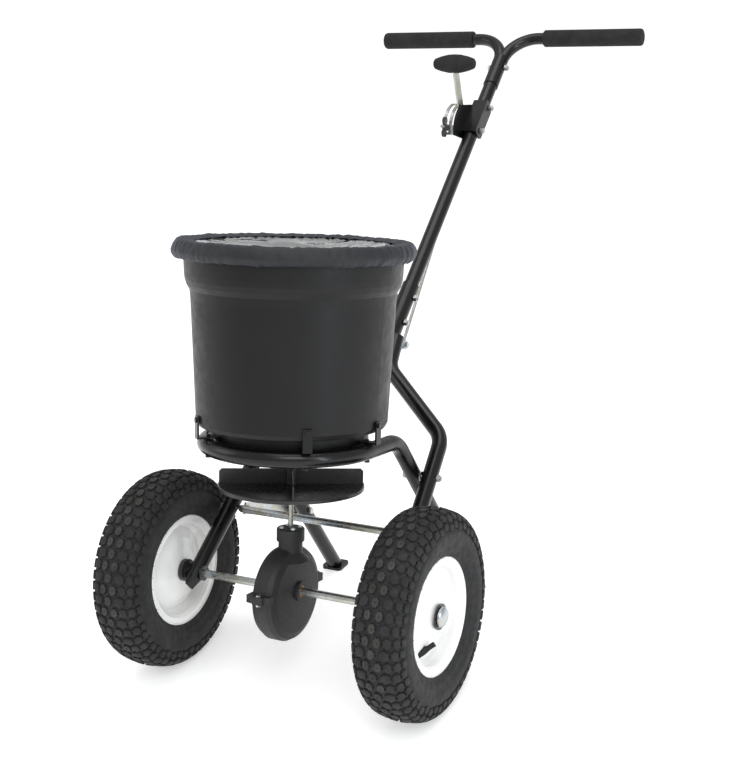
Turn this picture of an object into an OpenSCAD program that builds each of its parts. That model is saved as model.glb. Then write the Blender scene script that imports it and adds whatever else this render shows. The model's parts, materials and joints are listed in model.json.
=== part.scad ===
// Walk-behind broadcast spreader: two air-filled wheels, hopper, spinner and T-handle frame.
// Row frame: X along the axle, front faces -Y, Z up, origin at the centre of the bottom of its box.
// Sub-parts are drawn upright about the axle, then machine() leans them back onto the stand.

/* [Stance and wheels] */
// lean of the hopper axis toward the handle when the stand is down, deg
lean = 12.3; // [8:0.1:16]
// outside diameter of the tyres
tyre_od = 318; // [290:1:340]
// width across the tyre sidewalls
tyre_w = 83; // [70:1:96]
// distance between the two wheel centres
track = 455; // [430:1:520]
// outside diameter of the rim flanges
rim_od = 178; // [165:1:190]
// width between the outer faces of the rim flanges
rim_w = 64; // [54:1:68]
// axle diameter
axle_d = 12.7; // [10:0.1:16]

/* [Hopper and cover] */
// outside diameter of the hopper wall near its floor
hopper_d = 292; // [260:1:330]
// height of the hopper from floor to rim
hopper_h = 275; // [220:1:290]
// wall thickness of the hopper
hopper_t = 3; // [2:0.5:4]
// height of the hopper floor above the axle
hopper_z = 259; // [252:1:275]
// diameter of the cover skirt
cover_d = 362; // [350:1:390]

/* [Spinner and gears] */
// diameter of the spinner plate
spinner_d = 224; // [180:1:236]
// height of the spinner plate above the axle
spinner_z = 164; // [150:1:185]
// height of the spinner fins
fin_h = 24; // [15:1:30]
// diameter of the vertical shaft
shaft_d = 8; // [7:0.1:10]
// teeth on the crown gear
crown_teeth = 45; // [36:9:45]
// teeth on the pinion
pinion_teeth = 9; // [9:1:9]
// gear module
gear_m = 2; // [1.6:0.1:2]
// outside radius of the gear housing
housing_r = 74; // [66:1:80]

/* [Frame tubes] */
// outside diameter of the frame tubes
tube_d = 25.4; // [22:0.1:28]
// wall of the frame tubes
tube_t = 1.6; // [1.2:0.1:2.5]
// radius of the hoop centreline
hoop_r = 130.6; // [126:0.1:140]
// height of the hoop above the axle
hoop_z = 232; // [225:1:240]
// distance of the foot pads behind the axle
foot_y = 384; // [340:1:420]
// diameter of the cross brace
brace_d = 12; // [10:0.5:14]

/* [Handle and control] */
// tilt of the post from the hopper axis, deg
post_tilt = 41.2; // [36:0.1:46]
// distance from the axle to the handle bar along the post
post_len = 1190; // [1050:5:1300]
// half width of the handle bar over the grips
bar_half = 269; // [240:1:290]
// diameter of the handle bar tube
bar_d = 22; // [20:0.5:24]
// diameter of the grips
grip_d = 32; // [28:0.5:36]
// length of each grip
grip_len = 195; // [150:1:200]
// length of the rate lever from its pivot to the knob
lever_len = 129; // [110:1:140]
// swing of the rate lever, deg
lever_swing = 30; // [20:1:34]

/* [Hidden] */
$fn = 64;
eps = 0.01;
wheel_r = tyre_od / 2;
wheel_x = track / 2;
post_dir = [0, sin(post_tilt), cos(post_tilt)];
fore_dir = [0, -cos(post_tilt), sin(post_tilt)];
bar_p = post_dir * post_len;
bar_y = bar_p[1] * cos(lean) + bar_p[2] * sin(lean);
axle_y = -(bar_y + grip_d / 2 - wheel_r) / 2;
run_gap = 0.05;
bolt_d = 6.35;
plate_t = 2.5;
// frame
foot_z = (foot_y * sin(lean) - wheel_r) / cos(lean);
foot_x = 137.5;
pad = [39, 36, 5];
stand_bend = [hoop_r, 93, hoop_z];
stand_end = [foot_x, foot_y - 2, foot_z + 4];
leg_path = [post_dir * 480 + [12, 0, 0], post_dir * 418 + [20, 0, 0], [155, 205, 222], [175, 0, 0]];
leg_dir = unit(leg_path[3] - leg_path[2]);
leg_end = leg_path[3] + leg_dir * 11;
cross_p = crossing(stand_bend, stand_end, leg_path[2], leg_path[3]);
brace_y = 83;
brace_leg = at_y(leg_path[2], leg_path[3], brace_y);
brace_p = [150.8, brace_y, brace_leg[2]];
brace_back = at_y(stand_bend, stand_end, 262);
// positions along the post, measured from the axle
s_sock0 = 470;
s_post0 = 500;
s_sock1 = 590;
s_pivot = 951;
s_stub = 1066;
s_post1 = post_len - 65;
bolt_s = [511, 563, 1008, 1112];
pivot = post_dir * s_pivot;
// rate linkage: lever arm, rod, bell crank and gate move together
lever_ang = 112;
arm_l = 28;
crank_r1 = 22;
crank_r2 = 38;
chord = 2 * arm_l * sin(lever_swing / 2);
crank_swing = 2 * asin(chord / 2 / crank_r1);
gate_travel = 2 * crank_r2 * sin(crank_swing / 2);
link_x = -22.8;
link_pin_d = 4.5;
rod_top = pivot + dir_x(327 - lever_swing / 2) * arm_l + [link_x, 0, 0];
crank_p = [0, 337, 300];
crank_a = crank_p + dir_x(-33 - crank_swing / 2) * crank_r1 + [link_x, 0, 0];
crank_b = crank_p + dir_x(-90 - crank_swing / 2) * crank_r2 + [link_x, 0, 0];
clamp_p = [link_x, 407, 336];
arc_r = 50;
stop_ang = 175;
stop_x = -29;
valve_ang = -31;
// gears
pitch_r = gear_m * pinion_teeth / 2;
crown_r = gear_m * crown_teeth / 2;
face_w = 10;
// gear housing
house_c = -6;
house_t = 3;
neck_z = 98;
// hopper
wall_r = hopper_d / 2;
rim_z = hopper_z + hopper_h;
gate_gap = 0.5;
gate_t = 2;
outlet_r = 60;
skirt_r = hoop_r - tube_d/2 - 1.3;
strap_a = [-130, -50, 0, 180];
fin_a = 33;

// ---------- helpers ----------
function unit(v) = v / norm(v);
function dir_x(a) = [0, cos(a), sin(a)];
function at_y(a, b, y) = a + (b - a) * (y - a[1]) / (b[1] - a[1]);
// where two frame tubes cross, seen along X
function crossing(a, b, c, d) = let (
    u = b - a, v = d - c,
    t = ((c[1] - a[1]) * v[2] - (c[2] - a[2]) * v[1]) / (u[1] * v[2] - u[2] * v[1])) a + u * t;
// one-sided sheet section that follows the points
function strip_n(p, i) = let (
    a = p[max(i - 1, 0)], b = p[min(i + 1, len(p) - 1)], u = unit(b - a)) [-u[1], u[0]];
function strip(p, t) = concat(p, [for (i = [len(p) - 1 : -1 : 0]) p[i] + strip_n(p, i) * t]);
// leans an upright sub-part back about the axle and lifts the axle to wheel height
module machine() translate([0, axle_y, wheel_r]) rotate([-lean, 0, 0]) children();
// stands a shape drawn along Z out along X
module along_x(x = 0) translate([x, 0, 0]) rotate([0, 90, 0]) children();
module mirrored_x() { children(); mirror([1, 0, 0]) children(); }
// straight round bar from a to b
module bar(a, b, d) {
    v = b - a;
    translate(a) rotate([0, acos(v[2] / norm(v)), atan2(v[1], v[0])]) cylinder(h = norm(v), d = d);
}
module pipe(a, b, d, t = 0) difference() {
    bar(a, b, d);
    if (t > 0) bar(a - unit(b - a), b + unit(b - a), d - 2 * t);
}
module ring(d, t) difference() {
    circle(d = d);
    if (t > 0) circle(d = d - 2 * t);
}
// thin band that closes the seam between two runs of a bent bar
module seam(p, u, d, t) pipe(p - u * 0.6, p + u * 0.6, d + 0.2, t > 0 ? t + 0.2 : 0);
// round bar or tube of wall t through the points, bent to radius r at each inner point
module bent(p, r, d, t = 0) {
    n = len(p);
    g = [for (i = [0 : n - 1]) (i == 0 || i == n - 1) ? 0
        : r * tan(acos(unit(p[i] - p[i-1]) * unit(p[i+1] - p[i])) / 2)];
    for (i = [0 : n - 2]) {
        u = unit(p[i+1] - p[i]);
        pipe(p[i] + u * g[i], p[i+1] - u * g[i+1], d, t);
    }
    if (n > 2) for (i = [1 : n - 2]) {
        u = unit(p[i] - p[i-1]);
        v = unit(p[i+1] - p[i]);
        k = unit(v - u * (u * v));
        c = p[i] - u * g[i] + k * r;
        w = cross(-k, u);
        multmatrix([[-k[0], u[0], w[0], c[0]], [-k[1], u[1], w[1], c[1]],
                    [-k[2], u[2], w[2], c[2]], [0, 0, 0, 1]])
            rotate_extrude(angle = acos(u * v)) translate([r, 0]) ring(d, t);
        seam(p[i] - u * g[i], u, d, t);
        seam(p[i] + v * g[i], v, d, t);
    }
}
// bolt along X: hex head at x0, nut at x1
module cross_bolt(c, x0, x1, d = bolt_d) translate(c) {
    along_x(x0) cylinder(h = x1 - x0, d = d);
    along_x(x0 - 4) cylinder(h = 4, d = d * 1.9, $fn = 6);
    along_x(x1 - 7.5) cylinder(h = 5.5, d = d * 1.85, $fn = 6);
}
// frame of the post: x across, y toward the front, z along the post from the axle
module on_post(s = 0) multmatrix([[-1, 0, 0, 0],
    [0, fore_dir[1], post_dir[1], post_dir[1] * s],
    [0, fore_dir[2], post_dir[2], post_dir[2] * s], [0, 0, 0, 1]]) children();

// ---------- wheels ----------
// half of the tyre section as [radius, offset from the wheel's middle], k in from the outside
function tyre_half(k) = [[rim_od/2 - 5, rim_w/2 - 5 - k], [rim_od/2 - 2, rim_w/2 - 4.9 - k],
    [rim_od/2 + 0.6, rim_w/2 - 0.6 - k], [rim_od/2 + 4, rim_w/2 + 1 - k],
    [rim_od/2 + 13, tyre_w/2 - 4.5 - k], [rim_od/2 + 24, tyre_w/2 - 0.8 - k],
    [rim_od/2 + 34, tyre_w/2 - k], [rim_od/2 + 44, tyre_w/2 - 0.8 - k],
    [wheel_r - 15 - k/2, tyre_w/2 - 3.5 - k], [wheel_r - 8 - k, tyre_w/2 - 8 - k],
    [wheel_r - 3.6 - k, tyre_w/2 - 16 - k], [wheel_r - 0.8 - k, 10], [wheel_r - k, 0]];
module tyre_section(k) {
    h = tyre_half(k);
    polygon(concat(h, [for (i = [len(h) - 2 : -1 : 0]) [h[i][0], -h[i][1]]]));
}
module tyre(x) machine() along_x(x) rotate_extrude($fn = 128) difference() {
    tyre_section(0);
    tyre_section(7);
    translate([rim_od/2 - 6, -rim_w/2 + 11.5]) square([7, rim_w - 23]);
}
// pressed steel rim: flanges, bead seats, drop centre and two dished webs on a hub tube
module rim_section() for (m = [-1, 1]) scale([1, m]) {
    f = rim_w / 2;
    r = rim_od / 2;
    polygon(strip([[r, f - 1], [r - 2, f - 4.4], [r - 10.5, f - 5], [r - 12.8, f - 7],
        [r - 13, f - 17], [r - 19, f - 24], [r - 19, -eps]], -2.4));
    polygon(strip([[r - 20.5, f - 23], [r - 27, 12.5], [r - 38, 17.6], [r - 52, 22], [r - 66, 24.8],
        [14, 26.5]], 2.2));
}
module rim(x) machine() along_x(x) difference() {
    union() {
        rotate_extrude($fn = 128) rim_section();
        translate([0, 0, -29]) cylinder(h = 58, r = 15.2);
    }
    translate([0, 0, -30]) cylinder(h = 60, r = 11);
    on_valve() cylinder(h = 26, d = 11.2, center = true);
    rotate([90, 0, 0]) cylinder(h = 40, d = 4, center = true);
}
module on_valve() rotate([0, 0, valve_ang]) translate([59, 0, 13]) rotate([0, -43.5, 0]) children();
module valve(x) machine() along_x(x) on_valve() {
    translate([0, 0, -6]) cylinder(h = 12, d = 11);
    translate([0, 0, 6]) cylinder(h = 10, d1 = 11, d2 = 8.4);
    translate([0, 0, 16]) cylinder(h = 11, d = 7.8);
}
module air_tube(x) machine() along_x(x) rotate_extrude($fn = 128) difference() {
    tyre_section(7);
    tyre_section(8.6);
    translate([0, -60]) square([rim_od/2 - 3, 120]);
}
module hub_bushes(x) machine() for (m = [-1, 1]) translate([x, 0, 0]) scale([m, 1, 1])
    along_x() difference() {
        union() {
            translate([0, 0, 14]) cylinder(h = 15, r = 11);
            translate([0, 0, 29]) cylinder(h = m * sign(x) < 0 ? 7 : 2.5, r = m * sign(x) < 0 ? 18 : 19.5);
        }
        translate([0, 0, 13]) cylinder(h = 30, d = axle_d + 2 * run_gap);
    }
module tyre_left() color([0.2, 0.2, 0.2]) tyre(-wheel_x);
module tyre_right() color([0.2, 0.2, 0.2]) tyre(wheel_x);
module rim_left() color("white") mirror([1, 0, 0]) rim(wheel_x);
module rim_right() color("white") rim(wheel_x);
module air_tube_left() color([0.1, 0.1, 0.1]) air_tube(-wheel_x);
module air_tube_right() color([0.1, 0.1, 0.1]) air_tube(wheel_x);
module valve_left() color([0.1, 0.1, 0.1]) mirror([1, 0, 0]) valve(wheel_x);
module valve_right() color([0.1, 0.1, 0.1]) valve(wheel_x);
module hub_bushes_left() color([0.1, 0.1, 0.1]) hub_bushes(-wheel_x);
module hub_bushes_right() color([0.1, 0.1, 0.1]) hub_bushes(wheel_x);

// ---------- axle and gears ----------
cap_x = wheel_x + 31.8;
cap_r = 15.8;
module axle() color("silver") machine() difference() {
    along_x(-cap_x - 5) cylinder(h = 2 * cap_x + 10, d = axle_d);
    translate([-wheel_x, 0, 0]) rotate([90, 0, 0]) cylinder(h = 40, d = 4, center = true);
}
// domed push-on caps on the axle ends, with a collar that grips the axle
module axle_caps() color("silver") machine() mirrored_x() along_x(cap_x) rotate_extrude()
    polygon(concat([[axle_d/2, 0], [8.6, 0], [8.6, 4.6], [13.6, 2], [13.9, 0]],
        [for (a = [0 : 15 : 75]) [cap_r * cos(a), 1.4 + 7.8 * sin(a)]],
        [[0, 9.2], [0, 5.1], [axle_d/2, 5.1]]));
module drive_pin() color("silver") machine() translate([-wheel_x, 0, 0]) rotate([90, 0, 0])
    cylinder(h = 33, d = 4, center = true);
// flanged bushes where the axle passes through the leg tubes
module axle_bushes() color([0.1, 0.1, 0.1]) machine() mirrored_x() along_x(leg_path[3][0])
    difference() {
        union() {
            translate([0, 0, -tube_d/2 - 1.5]) cylinder(h = tube_d + 3, d = 17);
            for (z = [-tube_d/2 - 3, tube_d/2 + 1]) translate([0, 0, z]) cylinder(h = 2, d = 24);
        }
        translate([0, 0, -20]) cylinder(h = 40, d = axle_d + 2 * run_gap);
    }
module crown_gear() color([0.6, 0.6, 0.58]) machine() along_x() difference() {
    union() {
        translate([0, 0, -pitch_r - 12]) cylinder(h = 10, r = crown_r + face_w/2 + 2);
        translate([0, 0, -pitch_r - 15]) cylinder(h = 18, r = 14);
        for (i = [0 : crown_teeth - 1]) rotate([0, 0, 180 + (i + 0.5) * 360 / crown_teeth])
            translate([crown_r - face_w/2, 0, -pitch_r - 2]) rotate([90, 0, 90])
                linear_extrude(face_w) polygon([[-1.7, -0.5], [1.7, -0.5], [0.75, 3.5], [-0.75, 3.5]]);
    }
    translate([0, 0, -40]) cylinder(h = 60, d = axle_d);
}
module pinion() color([0.6, 0.6, 0.58]) machine() translate([0, 0, crown_r - face_w/2 - 1])
    difference() {
        linear_extrude(face_w + 2) {
            circle(r = pitch_r - 1.9);
            for (i = [0 : pinion_teeth - 1]) rotate([0, 0, 180 + i * 360 / pinion_teeth])
                polygon([[pitch_r - 2.6, -1.7], [pitch_r + 1.5, -0.75], [pitch_r + 1.5, 0.75],
                    [pitch_r - 2.6, 1.7]]);
        }
        translate([0, 0, -1]) cylinder(h = face_w + 4, d = shaft_d);
    }

// ---------- gear housing ----------
function house_profile(k) = [[0, -28 + k], [housing_r - 14, -28 + k], [housing_r - 5 - k/2, -24 + k/2],
    [housing_r - k, -15], [housing_r - k, 3], [housing_r - 4 - k/2, 10 - k/2],
    [housing_r - 14, 14.6 - k], [34, 17 - k], [0, 18.5 - k]];
module house_drum(k) translate([0, 0, house_c]) along_x()
    rotate_extrude($fn = 96) polygon(house_profile(k));
module house_half(up) difference() {
    union() {
        intersection() {
            house_drum(0);
            translate([-100, -100, up ? 2 : -200]) cube([200, 200, up ? 200 : 202]);
        }
        // joint flange with screw ears front and back
        intersection() {
            translate([-30, -85, up ? 2 : -4]) cube([48.5, 170, 6]);
            union() {
                translate([-6, 0, -10]) flange_disc();
                for (y = [-80, 80]) translate([-6, y, -10]) cylinder(h = 30, r = 10);
            }
        }
        if (up) {
            translate([0, 0, 50]) cylinder(h = 28, r = 18.6);
            translate([0, 0, 48]) cylinder(h = 12, r1 = 30, r2 = 18.6);
        }
        for (m = [0, 1]) mirror([m, 0, 0]) translate([m == 1 ? 26 : 15, 0, 0])
            intersection() {
                along_x() cylinder(h = 7, r = 15);
                translate([-10, -20, up ? 2 : -42]) cube([40, 40, up ? 40 : 44]);
            }
    }
    house_drum(house_t);
    translate([0, 0, 40]) cylinder(h = 50, r = 9);
    along_x(-50) cylinder(h = 100, r = 8.5);
    for (y = [-80, 80]) translate([-6, y, -30]) cylinder(h = 60, d = 4.2);
}
module flange_disc() intersection() {
    cylinder(h = 30, r = 82);
    translate([-22, -100, 0]) cube([40, 200, 30]);
}
module housing_lower() color([0.16, 0.16, 0.17]) machine() house_half(false);
module housing_upper() color([0.16, 0.16, 0.17]) machine() house_half(true);
module housing_bushes() color([0.5, 0.42, 0.3]) machine() for (x = [-32, 16]) along_x(x)
    difference() {
        cylinder(h = 6, r = 8.5);
        translate([0, 0, -1]) cylinder(h = 10, d = axle_d + 2 * run_gap);
    }
// cap over the neck with the shaft bearing in it
module housing_cap() color([0.16, 0.16, 0.17]) machine() difference() {
    union() {
        translate([0, 0, 78]) cylinder(h = neck_z - 79.5, r = 21.5);
        translate([0, 0, neck_z - 1.5]) cylinder(h = 1.5, r1 = 21.5, r2 = 20);
        translate([0, 0, 60]) cylinder(h = 19, r = 9);
    }
    translate([0, 0, 50]) cylinder(h = 60, d = shaft_d + 2 * run_gap);
    for (a = [45 : 90 : 315]) rotate([0, 0, a]) translate([14.5, 0, neck_z - 12]) cylinder(h = 20, d = 4);
}
module housing_screws() color("silver") machine() {
    for (a = [45 : 90 : 315]) rotate([0, 0, a]) translate([14.5, 0, neck_z - 12]) screw(12, 4, 7.5);
    for (y = [-80, 80]) translate([-6, y, -6]) {
        translate([0, 0, 0]) cylinder(h = 14, d = 4.2);
        translate([0, 0, 14]) cylinder(h = 2.4, d = 8, $fn = 6);
        translate([0, 0, -1.2]) cylinder(h = 3.2, d = 8, $fn = 6);
    }
}
module screw(h, d, hd) {
    cylinder(h = h, d = d);
    translate([0, 0, h]) cylinder(h = 2.2, d1 = hd, d2 = hd - 1.8);
}

// ---------- spinner ----------
module spinner_shaft() color("silver") machine() difference() {
    translate([0, 0, 26]) cylinder(h = hopper_z + 42 - 26, d = shaft_d);
    translate([0, 0, spinner_z - 4.5]) rotate([0, 90, 0]) cylinder(h = 22, d = 3, center = true);
    translate([0, 0, hopper_z + 26]) rotate([0, 90, 0]) cylinder(h = 40, d = 5, center = true);
}
module spinner() color([0.1, 0.1, 0.1]) machine() translate([0, 0, spinner_z]) difference() {
    union() {
        rotate_extrude($fn = 128) polygon([[0, 0], [spinner_d/2 - 4, 0], [spinner_d/2, -3],
            [spinner_d/2, 2], [spinner_d/2 - 1, 3], [0, 3]]);
        translate([0, 0, -8]) cylinder(h = fin_h + 13, r = 9);
        for (i = [0 : 3]) rotate([0, 0, fin_a + i * 90]) translate([6, 1, 1.6]) rotate([90, 0, 0])
            linear_extrude(2) polygon([[0, 0], [spinner_d/2 - 8, 0], [spinner_d/2 - 8, fin_h - 3],
                [spinner_d/2 - 12, fin_h + 1], [0, fin_h + 1]]);
    }
    translate([0, 0, -20]) cylinder(h = 80, d = shaft_d);
    rotate([0, 90, 0]) translate([4.5, 0, 0]) cylinder(h = 40, d = 3, center = true);
}
// cross pins: one locks the spinner to the shaft, one stirs the hopper
module agitator() color("silver") machine() {
    translate([0, 0, spinner_z - 4.5]) rotate([0, 90, 0]) cylinder(h = 22, d = 3, center = true);
    translate([0, 0, hopper_z + 26]) rotate([0, 90, 0]) cylinder(h = 96, d = 5, center = true);
}

// ---------- hopper ----------
module hopper() color([0.18, 0.18, 0.18]) machine() difference() {
    union() {
        hopper_shell();
        // ring under the floor that drops inside the hoop, open at the back for the gate
        difference() {
            translate([0, 0, hopper_z - 21]) cylinder(h = 22, r = skirt_r);
            translate([0, 0, hopper_z - 22]) cylinder(h = 24, r = skirt_r - 2.6);
            translate([-58, 0, hopper_z - 22]) cube([116, 150, 22 - eps]);
        }
    }
    translate([0, 0, hopper_z - 1]) cylinder(h = 10, r = 9);
    for (a = [60 : 30 : 120]) rotate([0, 0, a]) translate([outlet_r, 0, hopper_z - 1])
        cylinder(h = 10, d = 24);
    for (a = strap_a) rotate([0, 0, a]) translate([wall_r - 15, 0, hopper_z + 14])
        rotate([0, 90, 0]) cylinder(h = 30, d = 4);
}
module hopper_shell() rotate_extrude($fn = 128) {
    r = wall_r;
    polygon(strip([[0, hopper_z], [r - 12, hopper_z], [r - 4, hopper_z + 2.5],
        [r - 0.8, hopper_z + 9], [r + 3.2, hopper_z + 0.34 * hopper_h],
        [r + 8, rim_z - 84], [r + 9.5, rim_z - 70], [r + 14, rim_z - 62], [r + 16.5, rim_z - 54],
        [r + 17.5, rim_z - 46], [r + 19.5, rim_z - 8], [r + 22, rim_z - 3], [r + 29, rim_z - 3]],
        hopper_t));
}
module hopper_bush() color([0.1, 0.1, 0.1]) machine() translate([0, 0, hopper_z]) difference() {
    union() {
        translate([0, 0, -3]) cylinder(h = 6 + hopper_t, r = 9);
        translate([0, 0, hopper_t]) cylinder(h = 3, r = 14);
    }
    translate([0, 0, -10]) cylinder(h = 30, d = shaft_d + 2 * run_gap);
}
// shut-off plate under the floor, shown closed; it slides back to open the outlets
module gate() color([0.7, 0.7, 0.68]) machine() translate([0, 0, hopper_z - gate_gap - gate_t]) {
    linear_extrude(gate_t) difference() {
        translate([-48, 34]) square([96, 48]);
        circle(r = 14);
    }
    translate([link_x - 6, 79, -8]) cube([12, 3, 8 + eps]);
}
module gate_guides() color([0.1, 0.1, 0.1]) machine() mirrored_x()
    translate([0, 22, hopper_z]) {
        translate([48.4, 0, -gate_gap - gate_t - 3]) cube([6, 92, gate_gap + gate_t + 3]);
        translate([44, 0, -gate_gap - gate_t - 3]) cube([5, 92, 2.5]);
    }
module hopper_straps() color([0.1, 0.1, 0.1]) machine() for (a = strap_a) rotate([0, 0, a])
    difference() {
        union() {
            translate([wall_r + 0.6, -7, hoop_z + tube_d/2]) cube([3, 14, 34]);
            translate([hoop_r - 10, -7, hoop_z + tube_d/2]) cube([wall_r + 0.6 - hoop_r + 11, 14, 3]);
        }
        translate([hoop_r, 0, hoop_z]) cylinder(h = 30, d = 5);
        translate([wall_r - 15, 0, hopper_z + 14]) rotate([0, 90, 0]) cylinder(h = 30, d = 4);
    }
module strap_screws() color([0.1, 0.1, 0.1]) machine() for (a = strap_a) rotate([0, 0, a]) {
    translate([hoop_r, 0, hoop_z - tube_d/2 - 2]) cylinder(h = tube_d + 8, d = 5);
    translate([hoop_r, 0, hoop_z - tube_d/2 - 3.5]) cylinder(h = 3.5, d = 9, $fn = 6);
    translate([wall_r - hopper_t - 3, 0, hopper_z + 14]) rotate([0, 90, 0]) cylinder(h = 7, d = 4);
    translate([wall_r + 3.6, 0, hopper_z + 14]) rotate([0, 90, 0]) cylinder(h = 2, d = 8);
    translate([wall_r - 1, 0, hopper_z + 14]) rotate([0, 90, 0]) cylinder(h = 5, d = 4);
}
// fabric cover: a hem round the rim and a clear panel on top
module cover_skirt() color([0.2, 0.21, 0.24]) machine() rotate_extrude($fn = 128) {
    c = cover_d / 2;
    polygon(strip([[c - 2, rim_z - 22.5], [c, rim_z - 18.5], [c, rim_z - 3], [c - 2, rim_z + 0.2],
        [c - 5.5, rim_z + 1.8], [c - 24, rim_z + 1.8]], 1.2));
}
module cover_window() color([0.8, 0.84, 0.88, 0.6]) machine() translate([0, 0, rim_z + 1.8])
    cylinder(h = 0.6, r = cover_d/2 - 14, $fn = 128);

// ---------- frame ----------
module hoop_tube() {
    rotate([0, 0, 180]) translate([0, 0, hoop_z]) rotate_extrude(angle = 180, $fn = 128)
        translate([hoop_r, 0]) ring(tube_d, tube_t);
    mirrored_x() {
        seam([hoop_r, 0, hoop_z], [0, 1, 0], tube_d, tube_t);
        bent([[hoop_r, 0, hoop_z], stand_bend, stand_end + unit(stand_end - stand_bend) * 12],
            55, tube_d, tube_t);
    }
}
module on_pad() translate([foot_x, foot_y, foot_z]) rotate([lean, 0, 0]) children();
// hoop round the hopper, running back and down into the two stand legs
module stand_hoop() color([0.1, 0.1, 0.1]) machine() {
    difference() {
        hoop_tube();
        mirrored_x() on_pad() translate([-50, -60, -40]) cube([100, 120, 43]);
        mirrored_x() {
            translate([0, cross_p[1], cross_p[2]]) along_x(60) cylinder(h = 120, d = bolt_d + 0.1);
            translate([0, brace_back[1], brace_back[2]]) along_x(60)
                cylinder(h = 120, d = bolt_d + 0.1);
        }
        for (a = strap_a) rotate([0, 0, a]) translate([hoop_r, 0, hoop_z - 20])
            cylinder(h = 40, d = 5.1);
    }
    mirrored_x() on_pad() intersection() {
        translate([-pad[0]/2, -pad[1]/2, 0]) cube(pad);
        cylinder(h = pad[2], r = norm([pad[0], pad[1]]) / 2 - 3);
    }
}
leg_run = [leg_path[0], leg_path[1], leg_path[2], leg_end];
// socket for the post with the two legs that carry the axle
module leg_frame() color([0.1, 0.1, 0.1]) machine() difference() {
    union() {
        mirrored_x() {
            bent(leg_run, 50, tube_d, tube_t);
            // crimped lower end
            translate(leg_path[3]) rotate([0, acos(leg_dir[2]), atan2(leg_dir[1], leg_dir[0])]) hull() {
                translate([0, 0, 9.6]) cylinder(h = 1, d = tube_d - 0.2, $fn = 32);
                translate([-9, -1.8, 26]) cube([18, 3.6, 1]);
            }
        }
        on_post(s_sock0) cylinder(h = s_sock1 - s_sock0, d = tube_d + 4.6);
    }
    on_post(s_post0 - 3) cylinder(h = 200, d = tube_d + 2 * run_gap);
    mirrored_x() along_x(150) cylinder(h = 50, d = 17);
    translate([0, cross_p[1], cross_p[2]]) along_x(-200) cylinder(h = 400, d = bolt_d + 0.1);
    translate([0, brace_p[1], brace_p[2]]) along_x(-200) cylinder(h = 400, d = bolt_d + 0.1);
    for (s = [bolt_s[0], bolt_s[1]]) on_post(s) along_x(-30) cylinder(h = 60, d = bolt_d + 0.1);
}
module cross_bolts() color("silver") machine() mirrored_x() {
    x1 = at_y(leg_path[2], leg_path[3], cross_p[1])[0];
    cross_bolt([0, cross_p[1], cross_p[2]], cross_p[0] - tube_d/2 - 0.8, x1 + tube_d/2 + 8.2);
    translate([0, cross_p[1], cross_p[2]]) along_x(cross_p[0] + tube_d/2 + 0.2)
        cylinder(h = x1 - cross_p[0] - tube_d - 1, d = 16);
}
// cross brace: round between the legs, flattened where it runs back to the stand
module brace() color("silver") machine() {
    p = brace_p;
    q = [p[0], brace_back[1], brace_back[2]];
    u = unit(q - p);
    bent([[-p[0], p[1], p[2]] + u * 26, [-p[0], p[1], p[2]], p, p + u * 26], 14, brace_d);
    difference() {
        mirrored_x() strap_plate(p + u * 18, q);
        translate([0, q[1], q[2]]) along_x(-200) cylinder(h = 400, d = bolt_d + 0.1);
    }
}
module strap_plate(a, b) translate([a[0] - 1.5, a[1], a[2]])
    rotate([atan2(b[2] - a[2], b[1] - a[1]), 0, 0]) translate([0, 0, -10]) {
        cube([3, norm(b - a), 20]);
        translate([0, norm(b - a), 10]) along_x() cylinder(h = 3, r = 11);
    }
module brace_bolts() color("silver") machine() mirrored_x() {
    x0 = brace_back[0];
    cross_bolt([0, brace_back[1], brace_back[2]], x0 - tube_d/2 - 0.8, brace_p[0] + 9);
    translate([0, brace_back[1], brace_back[2]]) along_x(x0 + tube_d/2 + 0.4)
        cylinder(h = brace_p[0] - 1.9 - x0 - tube_d/2, d = 14);
    translate([0, brace_p[1], brace_p[2]]) {
        along_x(brace_p[0] + 3) cylinder(h = brace_leg[0] + tube_d/2 + 4.6 - brace_p[0] - 3, d = bolt_d);
        along_x(brace_leg[0] + tube_d/2 + 0.6) cylinder(h = 3.6, d = 11, $fn = 6);
    }
}
module post() color([0.1, 0.1, 0.1]) machine() difference() {
    on_post(s_post0) cylinder(h = s_post1 - s_post0, d = tube_d);
    on_post(s_post0 - 1) cylinder(h = s_post1 - s_post0 + 2, d = tube_d - 2 * tube_t);
    for (s = concat(bolt_s, [s_pivot])) on_post(s) along_x(-30) cylinder(h = 60, d = bolt_d + 0.1);
}

// ---------- handle ----------
bar_path = [[bar_half - 4, bar_p[1], bar_p[2]], [4, bar_p[1], bar_p[2]],
    post_dir * (s_post1 + 2) + [4, 0, 0]];
module handle_bar() color([0.1, 0.1, 0.1]) machine() difference() {
    union() {
        mirrored_x() bent(bar_path, 58, bar_d, tube_t);
        on_post(s_stub) cylinder(h = s_post1 + 12 - s_stub, d = tube_d + 3.2);
    }
    on_post(s_stub - 1) cylinder(h = s_post1 + 2 - s_stub, d = tube_d + 2 * run_gap);
    on_post(bolt_s[3]) along_x(-30) cylinder(h = 60, d = bolt_d + 0.1);
}
module grip() machine() translate([0, bar_p[1], bar_p[2]]) along_x(bar_half - grip_len) difference() {
    rotate_extrude() polygon([[0, 0], [grip_d/2 - 2, 0], [grip_d/2, 2], [grip_d/2, grip_len - 4],
        [grip_d/2 - 1.2, grip_len - 1.2], [grip_d/2 - 4, grip_len], [0, grip_len]]);
    translate([0, 0, -1]) cylinder(h = grip_len - 3, d = bar_d);
}
module grip_right() color([0.22, 0.22, 0.22]) grip();
module grip_left() color([0.22, 0.22, 0.22]) mirror([1, 0, 0]) grip();
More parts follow.
